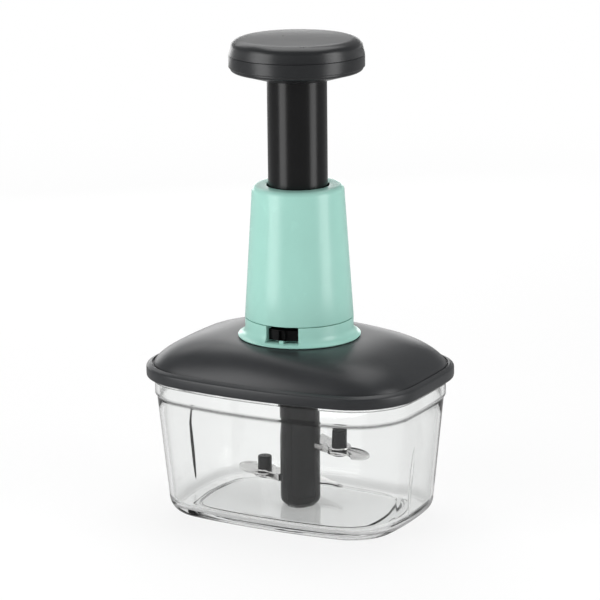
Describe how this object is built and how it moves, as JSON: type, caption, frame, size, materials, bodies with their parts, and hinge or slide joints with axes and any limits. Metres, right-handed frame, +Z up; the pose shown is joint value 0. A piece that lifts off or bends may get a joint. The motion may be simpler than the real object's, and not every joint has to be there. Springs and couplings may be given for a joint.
{
  "type": "hand-press food chopper",
  "caption": "Hand-press chopper: a palm knob on a sprung plunger spins a bladed column in a clear oblong bowl under a domed lid.",
  "frame": {"origin": "centre of the footprint, on the surface the bowl stands on", "axes": "+Z up through the plunger, +X along the bowl"},
  "size_m": [0.1502, 0.1102, 0.2448],
  "materials": {
    "clear_plastic": "clear glossy moulded plastic",
    "charcoal_plastic": "satin charcoal plastic",
    "black_plastic": "satin black plastic",
    "mint_plastic": "satin mint green plastic",
    "blade_steel": "brushed stainless steel",
    "zinc_steel": "zinc plated steel",
    "white_silicone": "soft white silicone",
    "natural_plastic": "uncoloured engineering plastic"
  },
  "bodies": {
    "bowl": {"container": "clear_plastic", "bowl_pin": "blade_steel"},
    "blade_unit": {"blade_column": "black_plastic", "column_cover": "black_plastic", "column_bush": "natural_plastic", "column_head": "black_plastic", "lower_arm": "blade_steel", "upper_arm": "blade_steel", "lower_pivot_post": "black_plastic", "upper_pivot_post": "black_plastic", "floor_blade": "blade_steel"},
    "lower_blade": {"lower_swing_blade": "blade_steel"},
    "upper_blade": {"upper_swing_blade": "blade_steel"},
    "lid": {"lid_shell": "charcoal_plastic", "lid_liner": "charcoal_plastic", "lid_gasket": "white_silicone", "housing_collar": "mint_plastic", "housing_cone": "mint_plastic", "guide_bush": "black_plastic", "collar_screw_1": "zinc_steel", "collar_screw_2": "zinc_steel", "collar_screw_3": "zinc_steel"},
    "lock": {"lock_ring": "black_plastic"},
    "plunger": {"plunger_tube": "black_plastic", "knob_base": "charcoal_plastic", "knob_cap": "charcoal_plastic", "drive_nut": "natural_plastic", "return_spring": "zinc_steel"},
    "rod": {"drive_rod": "blade_steel", "ratchet_wheel": "natural_plastic", "spring_seat": "natural_plastic"},
    "cup": {"drive_cup": "charcoal_plastic", "cup_screw": "zinc_steel"}
  },
  "joints": [
    {"name": "lid_lift", "type": "slide", "parent": "bowl", "child": "lid", "axis": [0, 0, 1], "range_m": [0, 0.05]},
    {"name": "plunger_slide", "type": "slide", "parent": "lid", "child": "plunger", "axis": [0, 0, -1], "range_m": [0, 0.048], "stiffness_N_per_m": 250, "springref_m": -0.03, "deforming": ["return_spring"]},
    {"name": "rod_spin", "type": "hinge", "parent": "lid", "child": "rod", "pos_m": [0, 0, 0.1], "axis": [0, 0, 1], "range_deg": [0, 432]},
    {"name": "cup_spin", "type": "hinge", "parent": "lid", "child": "cup", "pos_m": [0, 0, 0.09], "axis": [0, 0, 1], "range_deg": [0, 432]},
    {"name": "blade_spin", "type": "hinge", "parent": "bowl", "child": "blade_unit", "pos_m": [0, 0, 0.01], "axis": [0, 0, 1], "range_deg": [0, 432]},
    {"name": "lower_blade_swing", "type": "hinge", "parent": "blade_unit", "child": "lower_blade", "pos_m": [-0.02171, 0.0018, 0.0164], "axis": [0, 0, 1], "range_deg": [-104, 137]},
    {"name": "upper_blade_swing", "type": "hinge", "parent": "blade_unit", "child": "upper_blade", "pos_m": [0.02361, -0.00241, 0.0349], "axis": [0, 0, 1], "range_deg": [-114, 142]},
    {"name": "lock_turn", "type": "hinge", "parent": "lid", "child": "lock", "pos_m": [0, 0, 0.098], "axis": [0, 0, 1], "range_deg": [0, 12]}
  ],
  "couplings": [
    {"joint": "rod_spin", "follows": "plunger_slide", "rad_per_m": 157.07},
    {"joint": "cup_spin", "follows": "plunger_slide", "rad_per_m": 157.07},
    {"joint": "blade_spin", "follows": "plunger_slide", "rad_per_m": 157.07}
  ]
}
